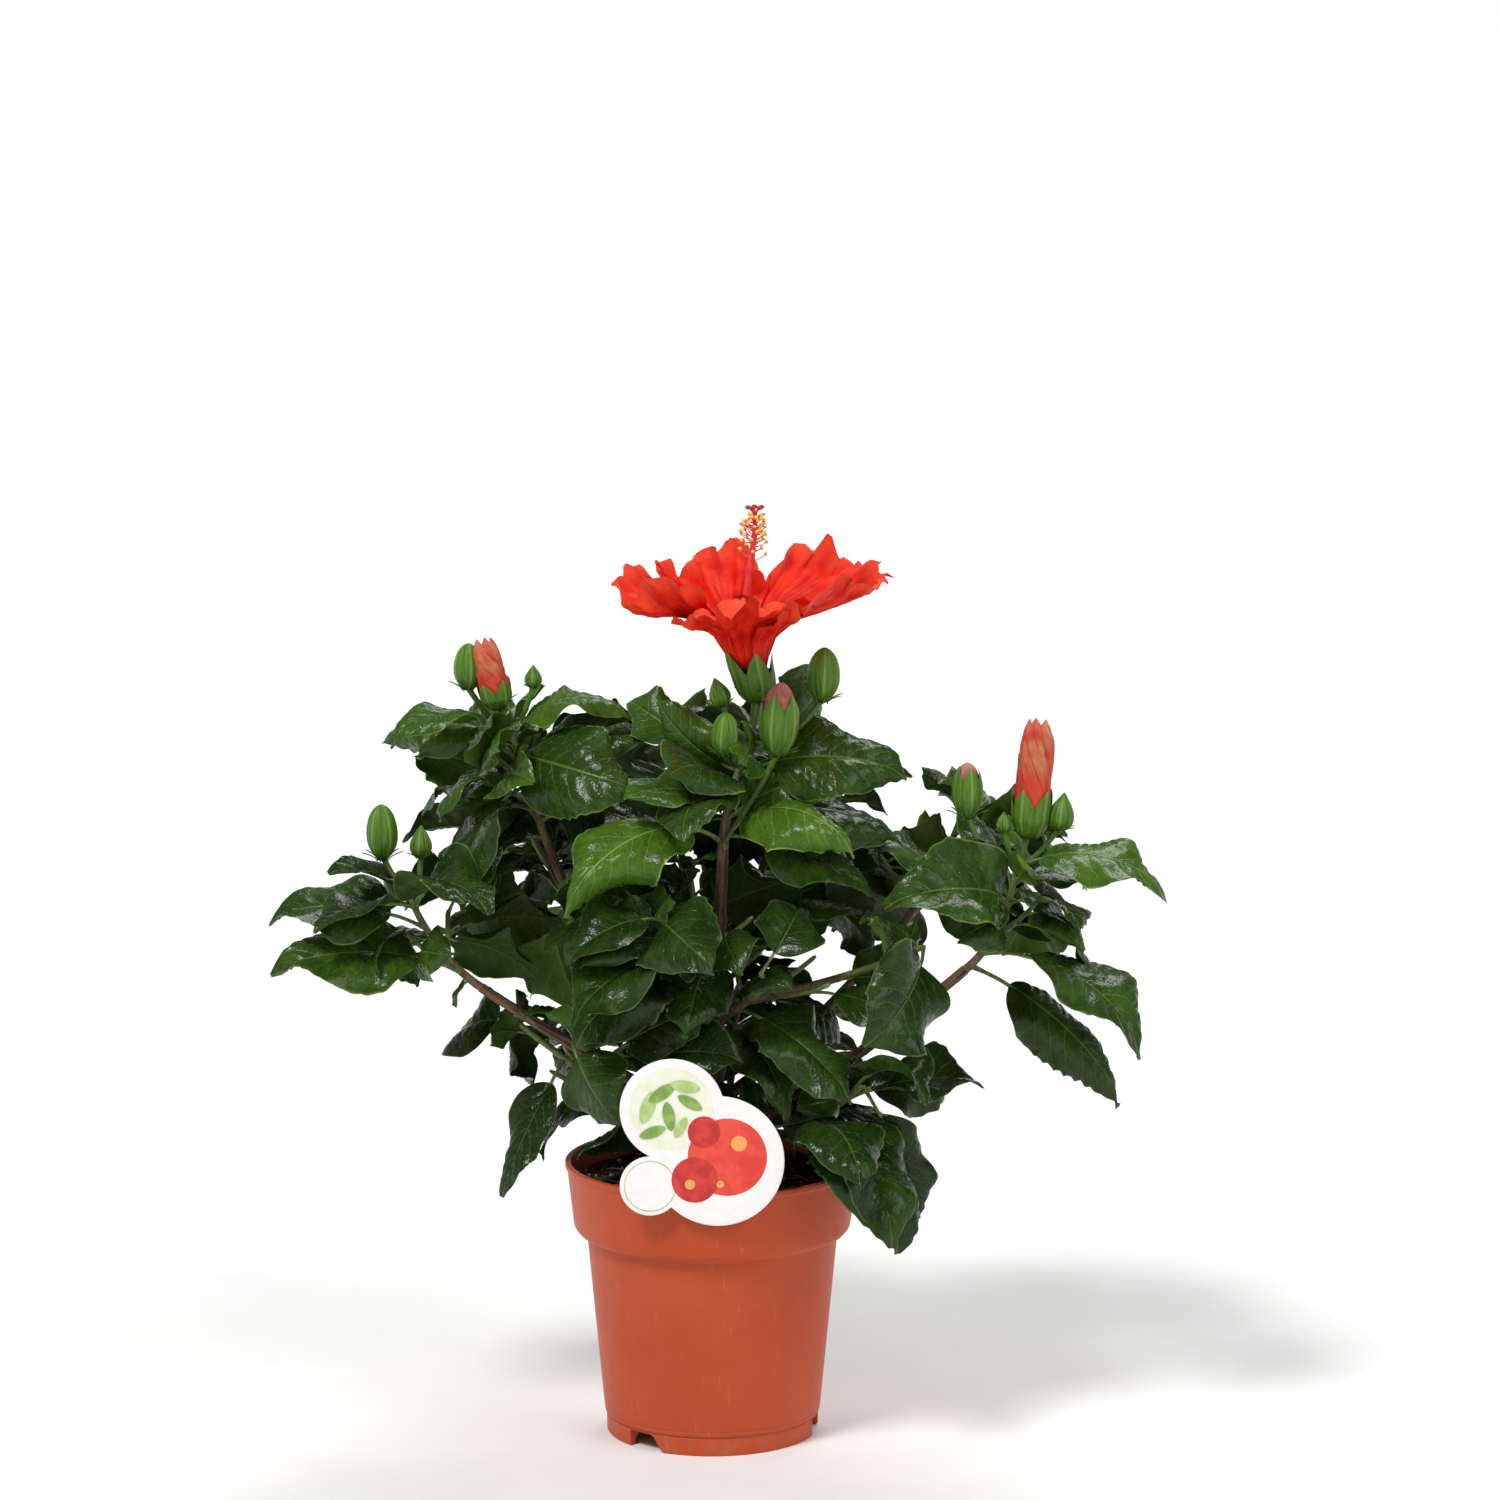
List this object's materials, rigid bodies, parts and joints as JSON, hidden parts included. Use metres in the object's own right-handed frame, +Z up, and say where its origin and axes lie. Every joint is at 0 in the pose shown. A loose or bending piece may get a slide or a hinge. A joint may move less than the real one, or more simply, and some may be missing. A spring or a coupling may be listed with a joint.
{
  "type": "potted hibiscus shrub",
  "caption": "Small evergreen flowering shrub with glossy toothed leaves, buds and an open red bloom on a short trunk, in a tapered round pot of peat with a hanging plant label.",
  "frame": {"origin": "centre of the flat foot in the middle of the pot's underside, at the height of the floor", "axes": "+Z up along the pot's axis, -Y towards the front where the label hangs, +X to the viewer's right"},
  "size_m": [0.3962, 0.2428, 0.413],
  "materials": {
    "pot": "satin terracotta plastic",
    "soil": "matt crumbly peat",
    "tag": "satin printed card",
    "bark": "matt fine-grained bark",
    "foliage": "glossy evergreen leaf",
    "bloom": "soft satin petal"
  },
  "bodies": {
    "root": {"pot": "pot", "soil": "soil", "tag": "tag", "trunk": "bark", "bough_left": "bark", "bough_upper_left": "bark", "bough_right": "bark", "bough_back_right": "bark", "bough_back_left": "bark", "bough_back": "bark", "foliage_top": "foliage", "foliage_upper_left": "foliage", "foliage_left": "foliage", "foliage_right": "foliage", "foliage_mid_right": "foliage", "foliage_front_left": "foliage", "foliage_front_right": "foliage", "foliage_low_left": "foliage", "foliage_low_right": "foliage", "foliage_skirt_left": "foliage", "foliage_centre": "foliage", "foliage_back_left": "foliage", "foliage_back_right": "foliage", "foliage_back": "foliage", "foliage_back_low": "foliage", "bloom": "bloom"}
  },
  "joints": []
}
